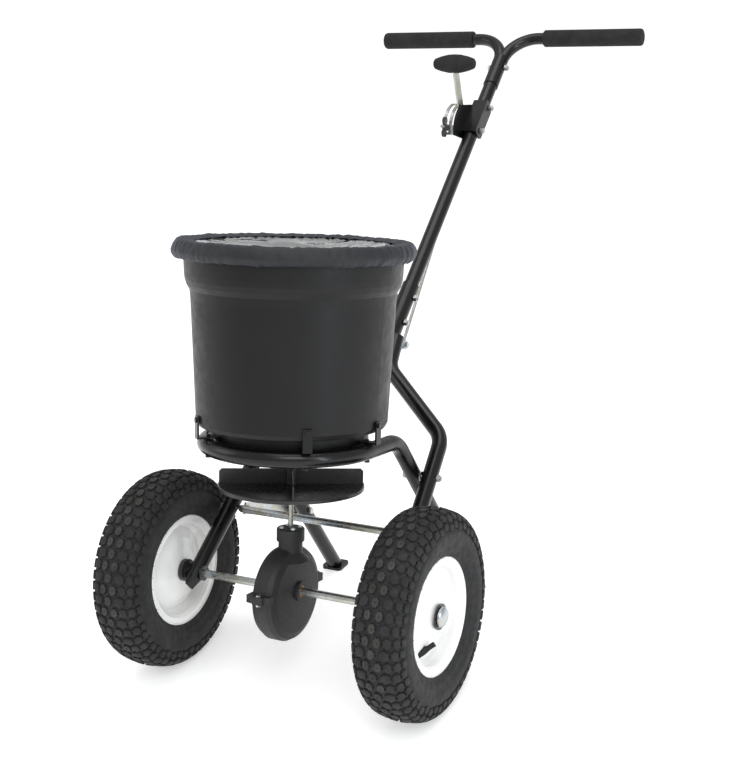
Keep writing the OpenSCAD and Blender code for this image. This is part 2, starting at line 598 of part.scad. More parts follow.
module frame_bolts() color("silver") machine() {
    for (s = [bolt_s[0], bolt_s[1]]) on_post(s) mirror([1, 0, 0]) cross_bolt([0, 0, 0], -15, 24);
    on_post(bolt_s[2]) mirror([1, 0, 0]) cross_bolt([0, 0, 0], -15.2, 24);
    on_post(bolt_s[3]) mirror([1, 0, 0]) cross_bolt([0, 0, 0], -14.3, 23);
}

// ---------- rate control ----------
// black channel round the post; its left side carries the rate plate
module lever_bracket() color([0.1, 0.1, 0.1]) machine() on_post() difference() {
    union() {
        translate([12.7, 0, 0]) rotate([90, 0, 90]) linear_extrude(plate_t) polygon(concat(
            [[-13, 938], [-13, 1014], [4, 1014]],
            [for (a = [118 : 9 : 190]) [(arc_r + 3) * cos(180 - post_tilt - a),
                s_pivot + (arc_r + 3) * sin(180 - post_tilt - a)]],
            [[0, 931]]));
        translate([-12.7 - plate_t, 0, 0]) rotate([90, 0, 90]) linear_extrude(plate_t)
            polygon([[-13, 944], [-13, 1008], [-7, 1016], [15.2, 1016], [15.2, 938], [-7, 938]]);
        translate([-12.8, 12.7, 938]) cube([25.6, plate_t, 77]);
    }
    for (s = [s_pivot, bolt_s[2]]) translate([0, 0, s]) along_x(-30) cylinder(h = 60, d = bolt_d + 0.1);
}
module about_pivot(a) translate(pivot) along_x() rotate([0, 0, a + 90]) children();
// curved slotted plate in front of the lever
module rate_plate() color("silver") machine() difference() {
    union() {
        about_pivot(104) rotate_extrude(angle = 86) translate([arc_r - 1, -38]) square([2, 18]);
        about_pivot(179.5) rotate_extrude(angle = 10.2) translate([arc_r - 0.8, -25]) square([1.6, 9.8]);
    }
    about_pivot(111) rotate_extrude(angle = 73.5) translate([arc_r - 2, stop_x - 3.4]) square([4, 6.8]);
}
module lever() color("silver") machine() difference() {
    translate([-19.5, 0, 0]) union() {
        translate(pivot) rotate([lever_ang, 0, 0]) translate([0, -2, -10]) cube([3, lever_len + 2, 20]);
        translate(pivot) along_x(-0.3) cylinder(h = 3.6, r = 12);
        translate(pivot) rotate([327 - lever_swing/2, 0, 0]) translate([0.1, 0, -6.5])
            cube([2.8, arm_l, 13]);
        translate([0, rod_top[1], rod_top[2]]) along_x(-0.2) cylinder(h = 3.4, r = 7.5);
        translate([0, rod_top[1], rod_top[2]]) along_x(-5.5) cylinder(h = 6, d = link_pin_d);
    }
    translate(pivot) along_x(-40) cylinder(h = 60, d = bolt_d + 2 * run_gap);
}
module knob() color([0.23, 0.23, 0.23]) machine() translate(pivot + dir_x(lever_ang) * lever_len)
    difference() {
        along_x(-18) rotate_extrude() polygon([[0, -40], [7, -40], [9.5, -38], [13.5, -26],
            [16.4, -12], [17, 0], [16.4, 12], [13.5, 26], [9.5, 38], [7, 40], [0, 40]]);
        translate([-19.5, 0, 0]) rotate([lever_ang, 0, 0]) translate([0, -30, -10]) cube([3, 30, 20]);
    }
module pivot_bolt() color("silver") machine() on_post(s_pivot) mirror([1, 0, 0])
    cross_bolt([0, 0, 0], -21.5, 24);
module at_stop() translate(pivot) rotate([stop_ang - 90, 0, 0]) translate([stop_x, 0, 0]) children();
module stop_bolt() color("silver") machine() at_stop() {
    translate([-5, -5, arc_r - 6]) cube([16.5, 10, 4.7]);
    translate([0, 0, arc_r - 2]) cylinder(h = 24, d = 6);
    translate([-2.9, -3, arc_r - 2]) cube([5.8, 6, 3.2]);
}
module wing_nut() color([0.1, 0.1, 0.1]) machine() at_stop() translate([0, 0, arc_r + 1.6])
    difference() {
        union() {
            cylinder(h = 9, d1 = 13, d2 = 10.5);
            for (m = [-1, 1]) translate([0, m * 11, 9]) rotate([0, 90, 0])
                cylinder(h = 4, r = 7.5, center = true);
        }
        translate([0, 0, -1]) cylinder(h = 30, d = 6.1);
    }
module rod_eye(c) translate([c[0] - 2, c[1], c[2]]) along_x() difference() {
    cylinder(h = 4, r = 8);
    translate([0, 0, -1]) cylinder(h = 6, d = 8);
}
// upper rod, clamped to the thin lower rod that reaches the bell crank
module control_rod() color([0.8, 0.78, 0.7]) machine() {
    u = unit(rod_top - clamp_p);
    v = unit(crank_a - clamp_p);
    difference() {
        union() {
            bar(clamp_p + u * 4, rod_top - u * 7, 6);
            rod_eye(rod_top);
        }
        translate(rod_top) along_x(-5) cylinder(h = 10, d = 8);
    }
    difference() {
        union() {
            bar(clamp_p + v * 3, crank_a - v * 6, 5);
            rod_eye(crank_a);
        }
        translate(crank_a) along_x(-5) cylinder(h = 10, d = 8);
    }
}
module rod_clamp() color("silver") machine() translate(clamp_p) {
    difference() {
        along_x(-7) cylinder(h = 14, r = 8.5);
        bar(unit(rod_top - clamp_p) * 4, unit(rod_top - clamp_p) * 30, 6);
        bar(unit(crank_a - clamp_p) * 3, unit(crank_a - clamp_p) * 30, 5);
    }
    along_x(7) cylinder(h = 4, d = 10, $fn = 6);
}
module crank_bracket() color([0.1, 0.1, 0.1]) machine() difference() {
    translate([-13.5, 0, 0]) rotate([90, 0, 90]) linear_extrude(3) polygon([[300, 352], [318, 362],
        [346, 304], [345, 295], [337, 291], [329, 295]]);
    translate(crank_p) along_x(-20) cylinder(h = 20, d = 6);
}
module bell_crank() color("silver") machine() difference() {
    translate([-17.3, 0, 0]) union() {
        for (e = [crank_a, crank_b]) {
            v = [0, e[1] - crank_p[1], e[2] - crank_p[2]];
            k = e == crank_a ? 0.1 : 0;
            translate(crank_p) rotate([atan2(v[2], v[1]), 0, 0]) translate([k, 0, -6])
                cube([3 - 2 * k, norm(v), 12]);
            translate([0, e[1], e[2]]) along_x(-0.2) cylinder(h = 3.4, r = 7);
            translate([0, e[1], e[2]]) along_x(-8.2) cylinder(h = 8.7, d = link_pin_d);
        }
        translate(crank_p) along_x(-0.3) cylinder(h = 3.6, r = 10);
    }
    translate(crank_p) along_x(-30) cylinder(h = 40, d = 6 + 2 * run_gap);
}
module crank_pin() color("silver") machine() translate(crank_p) {
    along_x(-19.5) cylinder(h = 11, d = 6);
    along_x(-19.7) cylinder(h = 1.8, d = 11);
    along_x(-10.5) cylinder(h = 3, d = 10, $fn = 6);
}
// flat link from the crank to the gate, slotted at the crank end
module gate_link() color("silver") machine() {
    a = [link_x, 82 + 9, hopper_z - 6.5];
    difference() {
        union() {
            bar(a, [link_x, crank_b[1] - 7, crank_b[2]], 5);
            translate([link_x - 2, crank_b[1], crank_b[2]]) {
                translate([0, -9, -10]) cube([4, 18, 21]);
            }
        }
        translate([link_x - 5, crank_b[1], crank_b[2]]) {
            translate([0, -3, -4]) cube([10, 6, 10]);
            translate([0, 0, -4]) along_x() cylinder(h = 10, r = 3);
            translate([0, 0, 6]) along_x() cylinder(h = 10, r = 3);
        }
    }
    translate([link_x - 6, 82, hopper_z - 9.5]) cube([12, 12, 6]);
}

tyre_left();
tyre_right();
rim_left();
rim_right();
air_tube_left();
air_tube_right();
valve_left();
valve_right();
hub_bushes_left();
hub_bushes_right();
axle();
axle_caps();
drive_pin();
axle_bushes();
crown_gear();
pinion();
housing_lower();
housing_upper();
housing_bushes();
housing_cap();
housing_screws();
spinner_shaft();
spinner();
agitator();
hopper();
hopper_bush();
gate();
gate_guides();
hopper_straps();
strap_screws();
cover_skirt();
cover_window();
stand_hoop();
leg_frame();
cross_bolts();
brace();
brace_bolts();
post();
handle_bar();
grip_left();
grip_right();
frame_bolts();
lever_bracket();
rate_plate();
lever();
knob();
pivot_bolt();
stop_bolt();
wing_nut();
control_rod();
rod_clamp();
crank_bracket();
bell_crank();
crank_pin();
gate_link();
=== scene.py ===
"""Walk-behind broadcast spreader: finishes, treaded tyres, fabric rain cover and studio.

Laid out as an add-on and run as a script. Sizes are in metres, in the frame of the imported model.
"""

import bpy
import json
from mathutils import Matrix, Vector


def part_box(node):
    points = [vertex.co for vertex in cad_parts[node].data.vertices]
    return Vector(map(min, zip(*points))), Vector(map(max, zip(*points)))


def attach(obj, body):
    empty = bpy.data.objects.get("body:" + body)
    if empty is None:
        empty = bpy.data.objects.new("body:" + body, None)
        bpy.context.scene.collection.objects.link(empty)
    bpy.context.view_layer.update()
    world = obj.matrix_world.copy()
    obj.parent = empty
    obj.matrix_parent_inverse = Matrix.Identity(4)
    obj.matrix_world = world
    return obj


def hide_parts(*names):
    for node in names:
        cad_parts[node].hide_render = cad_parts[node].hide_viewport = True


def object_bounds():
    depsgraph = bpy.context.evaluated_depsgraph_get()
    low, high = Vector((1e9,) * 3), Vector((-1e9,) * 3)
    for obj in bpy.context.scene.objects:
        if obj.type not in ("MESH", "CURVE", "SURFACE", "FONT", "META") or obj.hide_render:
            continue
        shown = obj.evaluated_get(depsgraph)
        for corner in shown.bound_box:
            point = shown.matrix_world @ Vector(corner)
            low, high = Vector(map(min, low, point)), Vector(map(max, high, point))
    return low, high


bl_info = {
    "name": "Broadcast spreader looks",
    "version": (1, 0, 0),
    "blender": (4, 5, 0),
    "location": "View3D > Sidebar > Spreader",
    "description": "Dresses the packed spreader with its finishes, tyres, rain cover and studio",
    "category": "Object",
}

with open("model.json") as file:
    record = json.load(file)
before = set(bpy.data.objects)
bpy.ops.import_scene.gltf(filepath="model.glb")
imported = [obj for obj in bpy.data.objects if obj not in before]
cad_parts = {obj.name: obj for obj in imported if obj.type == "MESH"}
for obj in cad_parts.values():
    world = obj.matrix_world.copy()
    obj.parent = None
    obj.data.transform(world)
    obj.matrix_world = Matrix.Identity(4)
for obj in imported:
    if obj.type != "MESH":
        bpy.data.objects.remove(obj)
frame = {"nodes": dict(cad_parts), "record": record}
cad_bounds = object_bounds()

import json
import math
import random

import bmesh
import bpy
from bpy.props import FloatProperty, IntProperty, PointerProperty, StringProperty
from mathutils import Matrix, Vector, noise

MM = 0.001


def linear(hex_code):
    """sRGB hex such as #1e1e1f to linear RGBA."""
    out = []
    for i in (1, 3, 5):
        v = int(hex_code[i:i + 2], 16) / 255
        out.append(v / 12.92 if v <= 0.04045 else ((v + 0.055) / 1.055) ** 2.4)
    return (*out, 1.0)


# ---------------------------------------------------------------- places taken from the frame
def centre(node):
    """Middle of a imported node's box."""
    lo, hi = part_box(node)
    return (lo + hi) / 2


AXLE = centre("axle")
# the cover lifts along the machine's own upright, so its joint gives the lean
LIFT = next(j for j in frame["record"]["behaviour"]["joints"] if j["name"] == "cover_lift")["axis"]
LEAN = math.atan2(LIFT[1], LIFT[2])
# upright spreader coordinates, measured from the axle, to the leaned frame
LEANED = Matrix.Translation(AXLE) @ Matrix.Rotation(-LEAN, 4, "X")


# ---------------------------------------------------------------- sizes and colours
class SpreaderSizes(bpy.types.PropertyGroup):
    tread_depth: FloatProperty(
        name="Tread depth", description="Depth of the grooves between the blocks",
        default=3.2 * MM, unit="LENGTH")
    tread_pitch: IntProperty(
        name="Tread blocks", description="Blocks round the tyre in each row",
        default=27, min=20, max=40)
    cover_puff: FloatProperty(
        name="Cover puff", description="How far the fabric stands off the hopper rim",
        default=1.6 * MM, unit="LENGTH")
    cover_gather: FloatProperty(
        name="Gathers", description="Height of the gathers at the elastic hem",
        default=1.7 * MM, unit="LENGTH")
    cover_sag: FloatProperty(
        name="Window sag", description="How far the clear panel hangs in its middle",
        default=9 * MM, unit="LENGTH")


class SpreaderColours(bpy.types.PropertyGroup):
    rubber: StringProperty(name="Tyre rubber", description="sRGB hex", default="#212122")
    tread: StringProperty(name="Worn tread", description="sRGB hex", default="#3d3b38")
    enamel: StringProperty(name="Rim enamel", description="sRGB hex", default="#f1f1ef")
    powder: StringProperty(name="Frame powder coat", description="sRGB hex", default="#0d0d0e")
    zinc: StringProperty(name="Zinc plate", description="sRGB hex", default="#b9bab6")
    hopper: StringProperty(name="Hopper polypropylene", description="sRGB hex", default="#131314")
    nylon: StringProperty(name="Housing nylon", description="sRGB hex", default="#1e1e1f")
    abs: StringProperty(name="Black ABS", description="sRGB hex", default="#29292a")
    foam: StringProperty(name="Grip foam", description="sRGB hex", default="#252525")
    polyester: StringProperty(name="Cover polyester", description="sRGB hex", default="#0f1115")
    vinyl: StringProperty(name="Clear vinyl", description="sRGB hex", default="#dfe3e8")


# ---------------------------------------------------------------- materials
def add(tree, kind, settings=None, inputs=None):
    """Adds a node, sets its fields, and sets or links its inputs."""
    n = tree.nodes.new(kind)
    for k, v in (settings or {}).items():
        setattr(n, k, v)
    for k, v in (inputs or {}).items():
        if isinstance(v, bpy.types.NodeSocket):
            tree.links.new(v, n.inputs[k])
        else:
            n.inputs[k].default_value = v
    return n


def surface(name, values):
    """A named material with its shader values set; returns the material, its tree, shader and place."""
    m = bpy.data.materials.new(name)
    m.use_nodes = True
    tree = m.node_tree
    shader = tree.nodes["Principled BSDF"]
    for k, v in values.items():
        shader.inputs[k].default_value = v
    place = add(tree, "ShaderNodeTexCoord").outputs["Object"]
    return m, tree, shader, place


def grain(tree, place, size, detail=2.0, stretch=(1, 1, 1)):
    """Noise whose lumps are about size across."""
    at = add(tree, "ShaderNodeMapping", inputs={"Vector": place, "Scale": stretch}).outputs[0]
    return add(tree, "ShaderNodeTexNoise", inputs={"Vector": at, "Scale": 1 / size,
                                                   "Detail": detail}).outputs["Fac"]


def vary(tree, shader, fac, low, high, spread=(0.35, 0.65)):
    """Colour that wanders between two shades."""
    ramp = add(tree, "ShaderNodeValToRGB", inputs={"Fac": fac})
    for e, at, c in zip(ramp.color_ramp.elements, spread, (low, high)):
        e.position, e.color = at, c
    tree.links.new(ramp.outputs["Color"], shader.inputs["Base Color"])


def rough(tree, shader, fac, low, high):
    """Roughness that wanders between two values."""
    r = add(tree, "ShaderNodeMapRange", inputs={"Value": fac, "From Min": 0.3, "From Max": 0.7,
                                                "To Min": low, "To Max": high})
    tree.links.new(r.outputs["Result"], shader.inputs["Roughness"])


def relief(tree, shader, height, depth, strength=1.0, under=None):
    """Bump of that depth in metres; under is the normal of a coarser relief beneath it."""
    inputs = {"Height": height, "Distance": depth, "Strength": strength}
    if under is not None:
        inputs["Normal"] = under
    b = add(tree, "ShaderNodeBump", inputs=inputs)
    tree.links.new(b.outputs["Normal"], shader.inputs["Normal"])
    return b.outputs["Normal"]


def shade(hex_code, k):
    """The colour made darker or lighter by the factor k."""
    c = linear(hex_code)
    return (c[0] * k, c[1] * k, c[2] * k, 1.0)


def moulded_rubber(c):
    # carbon-black rubber from a mould: dull, with a faint dusty bloom that breaks up the black
    m, t, s, p = surface("Moulded rubber", {"Base Color": linear(c.rubber), "Roughness": 0.7,
                                            "Specular IOR Level": 0.35})
    vary(t, s, grain(t, p, 28 * MM, 4), shade(c.rubber, 0.8), shade(c.rubber, 1.25))
    rough(t, s, grain(t, p, 9 * MM, 3), 0.6, 0.82)
    relief(t, s, grain(t, p, 1.4 * MM, 3), 0.12 * MM)
    return m


def scuffed_rubber(c):
    # block faces worn by the ground: greyer and drier than the moulded rubber round them
    m, t, s, p = surface("Scuffed tread rubber", {"Base Color": linear(c.tread), "Roughness": 0.8,
                                                  "Specular IOR Level": 0.3})
    vary(t, s, grain(t, p, 20 * MM, 3), shade(c.tread, 0.55), shade(c.tread, 1.25), (0.3, 0.7))
    relief(t, s, grain(t, p, 1.2 * MM, 3), 0.15 * MM)
    return m


def stove_enamel(c):
    # white stove enamel on pressed steel: a wet gloss over very faint orange peel
    m, t, s, p = surface("Stove enamel", {"Base Color": linear(c.enamel), "Roughness": 0.24,
                                          "Coat Weight": 0.5, "Coat Roughness": 0.06})
    vary(t, s, grain(t, p, 60 * MM, 2), shade(c.enamel, 0.93), shade(c.enamel, 1.0))
    relief(t, s, grain(t, p, 3.0 * MM, 1), 0.05 * MM)
    return m


def powder_coat(c):
    # gloss black powder coat: soft highlights broken by orange peel about 1.5 mm across
    m, t, s, p = surface("Black powder coat", {"Base Color": linear(c.powder), "Roughness": 0.3,
                                               "Specular IOR Level": 0.28, "Coat Weight": 0.15,
                                               "Coat Roughness": 0.1})
    rough(t, s, grain(t, p, 25 * MM, 3), 0.22, 0.34)
    relief(t, s, grain(t, p, 1.8 * MM, 1), 0.06 * MM)
    return m


def zinc_plate(c):
    # bright zinc plate: metallic, with faint clouds of straw and blue from the passivation
    m, t, s, p = surface("Passivated zinc plate", {"Base Color": linear(c.zinc), "Metallic": 1.0,
                                                   "Roughness": 0.3})
    ramp = add(t, "ShaderNodeValToRGB", inputs={"Fac": grain(t, p, 22 * MM, 3)})
    straw, blue = ramp.color_ramp.elements
    straw.position, straw.color = 0.36, linear("#aeaca0")
    blue.position, blue.color = 0.66, linear("#b4bdc3")
    ramp.color_ramp.elements.new(0.5).color = linear(c.zinc)
    t.links.new(ramp.outputs["Color"], s.inputs["Base Color"])
    rough(t, s, grain(t, p, 5 * MM, 4), 0.22, 0.42)
    relief(t, s, grain(t, p, 0.9 * MM, 2), 0.02 * MM)
    return m


def moulded_polypropylene(c):
    # injection-moulded polypropylene: low sheen, slow ripples down the wall and a fine grain
    m, t, s, p = surface("Moulded polypropylene", {"Base Color": linear(c.hopper), "Roughness": 0.4,
                                                    "Specular IOR Level": 0.27})
    vary(t, s, grain(t, p, 70 * MM, 3, (1, 1, 0.35)), shade(c.hopper, 0.9), shade(c.hopper, 1.12))
    rough(t, s, grain(t, p, 14 * MM, 4), 0.36, 0.5)
    slow = relief(t, s, grain(t, p, 45 * MM, 1, (1, 1, 0.3)), 0.5 * MM, 0.6)
    relief(t, s, grain(t, p, 1.3 * MM, 2), 0.05 * MM, 1.0, slow)
    return m


def spark_nylon(c):
    # glass-filled nylon with a spark-eroded mould grain: matt and slightly speckled
    m, t, s, p = surface("Spark-textured nylon", {"Base Color": linear(c.nylon), "Roughness": 0.55})
    vary(t, s, grain(t, p, 12 * MM, 4), shade(c.nylon, 0.85), shade(c.nylon, 1.15))
    rough(t, s, grain(t, p, 3 * MM, 3), 0.48, 0.66)
    relief(t, s, grain(t, p, 1.1 * MM, 3), 0.08 * MM)
    return m


def polished_abs(c):
    # injection-moulded ABS: near black with a clear gloss and faint sink marks
    m, t, s, p = surface("Black ABS", {"Base Color": linear(c.abs), "Roughness": 0.3})
    rough(t, s, grain(t, p, 10 * MM, 3), 0.24, 0.4)
    relief(t, s, grain(t, p, 30 * MM, 1), 0.25 * MM, 0.6)
    return m


def closed_foam(c):
    # closed-cell foam grip: dry and matt, with cells of about 0.6 mm drawn at 1.2 mm so they show
    m, t, s, p = surface("Closed-cell foam", {"Base Color": linear(c.foam), "Roughness": 0.88,
                                              "Specular IOR Level": 0.25})
    cells = add(t, "ShaderNodeTexVoronoi", inputs={"Vector": p, "Scale": 1 / (1.2 * MM)})
    vary(t, s, grain(t, p, 16 * MM, 4), shade(c.foam, 0.8), shade(c.foam, 1.2))
    relief(t, s, cells.outputs["Distance"], 0.18 * MM)
    return m


def woven_polyester(c):
    # coated polyester: threads of 0.4 mm drawn at 1.3 mm, a soft sheen and a blue cast on the folds
    m, t, s, p = surface("Woven polyester", {"Base Color": linear(c.polyester), "Roughness": 0.62,
                                             "Sheen Weight": 0.2, "Sheen Roughness": 0.4,
                                             "Sheen Tint": linear("#8d97b5")})
    # a wave texture repeats about every 0.32 of its scale, so this puts a thread every 1.3 mm
    warp, weft = (add(t, "ShaderNodeTexWave", {"bands_direction": way},
                      {"Vector": p, "Scale": 0.32 / (1.3 * MM)}) for way in "XY")
    cloth = add(t, "ShaderNodeMath", {"operation": "MAXIMUM"},
                {0: warp.outputs["Fac"], 1: weft.outputs["Fac"]})
    vary(t, s, grain(t, p, 18 * MM, 4), shade(c.polyester, 0.7), shade(c.polyester, 1.4))
    crease = relief(t, s, grain(t, p, 9 * MM, 3), 0.9 * MM, 0.7)
    relief(t, s, cloth.outputs[0], 0.1 * MM, 0.8, crease)
    return m


def clear_vinyl(c):
    # thin clear PVC: see-through and shiny, with soft creases that catch the light
    m, t, s, p = surface("Clear PVC film", {"Base Color": linear(c.vinyl), "Roughness": 0.09,
                                            "IOR": 1.53, "Transmission Weight": 1.0})
    rough(t, s, grain(t, p, 40 * MM, 2), 0.05, 0.16)
    relief(t, s, grain(t, p, 26 * MM, 2, (1, 0.45, 1)), 1.6 * MM, 0.9)
    return m


def sintered_iron(c):
    # sintered gear stock: grey, dry and fine grained
    m, t, s, p = surface("Sintered iron", {"Base Color": linear("#6f6e6b"), "Metallic": 0.9,
                                           "Roughness": 0.5})
    relief(t, s, grain(t, p, 0.8 * MM, 2), 0.04 * MM)
    return m


def oiled_bronze(c):
    # oil-filled bronze bushes: warm and satin
    m, t, s, p = surface("Oil-filled bronze", {"Base Color": linear("#8a6a3c"), "Metallic": 1.0,
                                               "Roughness": 0.4})
    rough(t, s, grain(t, p, 2 * MM, 2), 0.32, 0.5)
    return m


FINISH = {
    "inner_rubber": moulded_rubber, "rim_paint": stove_enamel, "zinc": zinc_plate,
    "frame_paint": powder_coat, "gear_metal": sintered_iron, "hopper_plastic": moulded_polypropylene,
    "housing_plastic": spark_nylon, "black_plastic": polished_abs, "grip_rubber": closed_foam,
    "bronze": oiled_bronze, "tyre_rubber": moulded_rubber, "cover_fabric": woven_polyester,
    "clear_vinyl": clear_vinyl,
}


class SPREADER_OT_finishes(bpy.types.Operator):
    """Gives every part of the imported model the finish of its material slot"""
    bl_idname = "spreader.finishes"
    bl_label = "Finishes"

    def execute(self, context):
        colours = context.scene.spreader_colours
        made = {}
        for sub in frame["record"]["subparts"]:
            make = FINISH[sub["material_slot"]]
            if make not in made:
                made[make] = make(colours)
            ob = frame["nodes"][sub["node"]]
            if not ob.material_slots:
                ob.data.materials.append(made[make])
            for s in ob.material_slots:
                s.material = made[make]
        return {"FINISHED"}


# ---------------------------------------------------------------- mesh helpers
def shown(name, bm, materials, body, smooth=True):
    """Turns a bmesh into a piece that rides on a body."""
    mesh = bpy.data.meshes.new(name)
    bmesh.ops.recalc_face_normals(bm, faces=bm.faces)
    bm.to_mesh(mesh)
    bm.free()
    for m in materials:
        mesh.materials.append(m)
    for f in mesh.polygons:
        f.use_smooth = smooth
    ob = bpy.data.objects.new(name, mesh)
    bpy.context.scene.collection.objects.link(ob)
    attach(ob, body)
    return ob


def spline(points, steps):
    """Catmull-Rom curve through 2-D points, with its ends kept."""
    padded = [points[0], *points, points[-1]]
    out = []
    for p, q, r, s in zip(padded, padded[1:], padded[2:], padded[3:]):
        for k in range(steps):
            t = k / steps
            out.append(tuple(0.5 * (2 * q[a] + (r[a] - p[a]) * t
                                    + (2 * p[a] - 5 * q[a] + 4 * r[a] - s[a]) * t * t
                                    + (3 * q[a] - p[a] - 3 * r[a] + s[a]) * t ** 3)
                             for a in (0, 1)))
    out.append(tuple(points[-1]))
    return out


def band(bm, a, b):
    """Joins two rings of vertices with quads and returns them."""
    n = len(a)
    return [bm.faces.new((a[i], a[(i + 1) % n], b[(i + 1) % n], b[i])) for i in range(n)]


def ring_mesh(bm, rings):
    """Joins rings of the same number of points."""
    vs = [[bm.verts.new(p) for p in r] for r in rings]
    for a, b in zip(vs, vs[1:]):
        band(bm, a, b)


def circle(turns):
    """Angles of that many even steps round a turn."""
    return [2 * math.pi * k / turns for k in range(turns)]


def swirl(angle, size, drift):
    """A place for noise that closes on itself round a turn; a larger size gives finer noise."""
    return Vector((math.cos(angle) * size, math.sin(angle) * size, drift))


def dressed(ob, thickness, node):
    """Gives a sheet its thickness, laid inward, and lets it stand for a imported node."""
    solid = ob.modifiers.new("Thickness", "SOLIDIFY")
    solid.thickness, solid.offset = thickness, -1
    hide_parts(node)


# ---------------------------------------------------------------- tyres
TYRE_TURNS, TYRE_STATIONS = 180, 40           # casing points round the tyre and from crown to bead
TREAD_EDGE, TREAD_FADE = 62 * MM, 6 * MM      # where the grooves end down the shoulder
SIDE_RIBS = ((74 * MM, 0.8 * MM, 1.5 * MM), (89 * MM, 1.1 * MM, 1.8 * MM))  # place, height, width
NIBS, NIB_LONG, NIB_R = 30, 3.2 * MM, 0.45 * MM


def tyre_profile(wheel_r, half_w, bead_r):
    """Half section from crown to bead: distance from the crown line, height above the rim centre."""
    h = wheel_r - bead_r
    return [(0, wheel_r), (0.24 * half_w, wheel_r - 0.012 * h), (0.61 * half_w, wheel_r - 0.05 * h),
            (0.81 * half_w, wheel_r - 0.11 * h), (0.915 * half_w, wheel_r - 0.2 * h),
            (0.98 * half_w, wheel_r - 0.34 * h), (half_w, wheel_r - 0.48 * h),
            (0.98 * half_w, wheel_r - 0.62 * h), (0.895 * half_w, wheel_r - 0.76 * h),
            (0.80 * half_w, wheel_r - 0.89 * h), (0.735 * half_w, wheel_r - 0.965 * h),
            (0.66 * half_w, bead_r)]


class Tread:
    """Maps (arc across, angle round, depth) to a point on a tyre about the X axis."""

    def __init__(self, wheel_r, half_w, bead_r):
        half = spline(tyre_profile(wheel_r, half_w, bead_r), 10)
        self.line, self.arc = half, [0.0]
        for a, b in zip(half, half[1:]):
            self.arc.append(self.arc[-1] + math.dist(a, b))

    def at(self, across, angle, depth=0.0):
        """The point that far across the tread line from the crown, sunk by depth."""
        u = min(abs(across), self.arc[-1] - 1e-7)
        i = max(k for k in range(len(self.arc) - 1) if self.arc[k] <= u)
        t = (u - self.arc[i]) / (self.arc[i + 1] - self.arc[i])
        (x0, r0), (x1, r1) = self.line[i], self.line[i + 1]
        x, r = x0 + (x1 - x0) * t, r0 + (r1 - r0) * t
        d = math.hypot(x1 - x0, r1 - r0)
        nx, nr = (r0 - r1) / d, (x1 - x0) / d
        x, r = x - nx * depth, r - nr * depth
        if across < 0:
            x = -x
        return Vector((x, r * math.cos(angle), r * math.sin(angle)))


# rows of blocks in mm: place across the crown, stagger round it, half width, half length, outline
CROWN_ROW = (0.0, 0.0, 6.6, 8.9, "star")
SIDE_ROWS = (
    (9.3, 0.5, 6.4, 8.9, "star"),
    (19.6, 0.0, 8.3, 8.1, "block"), (24.2, 0.5, 6.7, 8.1, "block"),
    (36.2, 0.0, 6.6, 8.1, "block"), (39.2, 0.5, 6.8, 8.1, "block"),
    (50.2, 0.0, 5.8, 8.0, "lug"), (53.2, 0.5, 5.6, 8.0, "lug"))
TREAD_ROWS = [CROWN_ROW] + [(side * row[0], *row[1:]) for side in (-1, 1) for row in SIDE_ROWS]
# outlines of the blocks, in half widths across the tyre and half lengths round it
OUTLINES = {
    "star": ((1, 0.36), (0.6, 0.55), (0.42, 0.98), (0, 0.76), (-0.42, 0.98), (-0.6, 0.55), (-1, 0.36),
             (-0.78, 0), (-1, -0.36), (-0.6, -0.55), (-0.42, -0.98), (0, -0.76), (0.42, -0.98),
             (0.6, -0.55), (1, -0.36), (0.78, 0)),
    "block": ((1, 0.6), (0.55, 0.78), (0.4, 1), (-0.3, 0.95), (-0.45, 0.72), (-1, 0.62),
              (-0.84, 0.1), (-1, -0.5), (-0.55, -0.78), (-0.3, -1), (0.4, -0.93), (0.55, -0.7),
              (1, -0.6), (0.86, -0.1)),
    "lug": ((1, 0.5), (0.6, 0.9), (-0.2, 1), (-0.45, 0.72), (-1, 0.66), (-0.82, 0), (-1, -0.6),
            (-0.5, -0.72), (-0.2, -0.96), (0.6, -0.9), (1, -0.5), (0.9, 0)),
}


def casing(bm, tread, depth):
    """The tyre from bead to bead, sunk by the groove depth under the tread and ribbed on its sides."""
    full = tread.arc[-1]
    stations = [full * math.sin(k / TYRE_STATIONS * math.pi / 2) for k in range(TYRE_STATIONS + 1)]
    across = [-u for u in reversed(stations[1:])] + stations

    def sunk(u):
        fade = min(1.0, max(0.0, (TREAD_EDGE - abs(u)) / TREAD_FADE))
        ribs = [high * math.exp(-((abs(u) - at) / wide) ** 2) for at, high, wide in SIDE_RIBS]
        return depth * fade - sum(ribs)

    ring_mesh(bm, [[tread.at(u, a, sunk(u)) for a in circle(TYRE_TURNS)] for u in across])


def tread_block(bm, tread, depth, row, angle):
    """One raised block; those of the crown take the second material and a dimple in the middle."""
    place, _, half_w, half_l, shape = row
    side = 1 if place >= 0 else -1
    crown = shape == "star"

    def loop(inset, down):
        return [bm.verts.new(tread.at((place + side * x * half_w * inset) * MM,
                                      angle + y * half_l * inset * MM / tread.line[0][1], down))
                for x, y in OUTLINES[shape]]

    foot, wall, top = loop(1.0, depth * 1.1), loop(0.97, 0.8 * MM), loop(0.86, 0.0)
    band(bm, foot, wall)
    band(bm, wall, top)
    mid = bm.verts.new(tread.at(place * MM, angle, 1.4 * MM if crown else 0.0))
    inner = loop(0.34, 0.0)
    n = len(inner)
    caps = [bm.faces.new((inner[i], inner[(i + 1) % n], mid)) for i in range(n)]
    for f in band(bm, top, inner) + caps:
        f.material_index = 1 if crown else 0


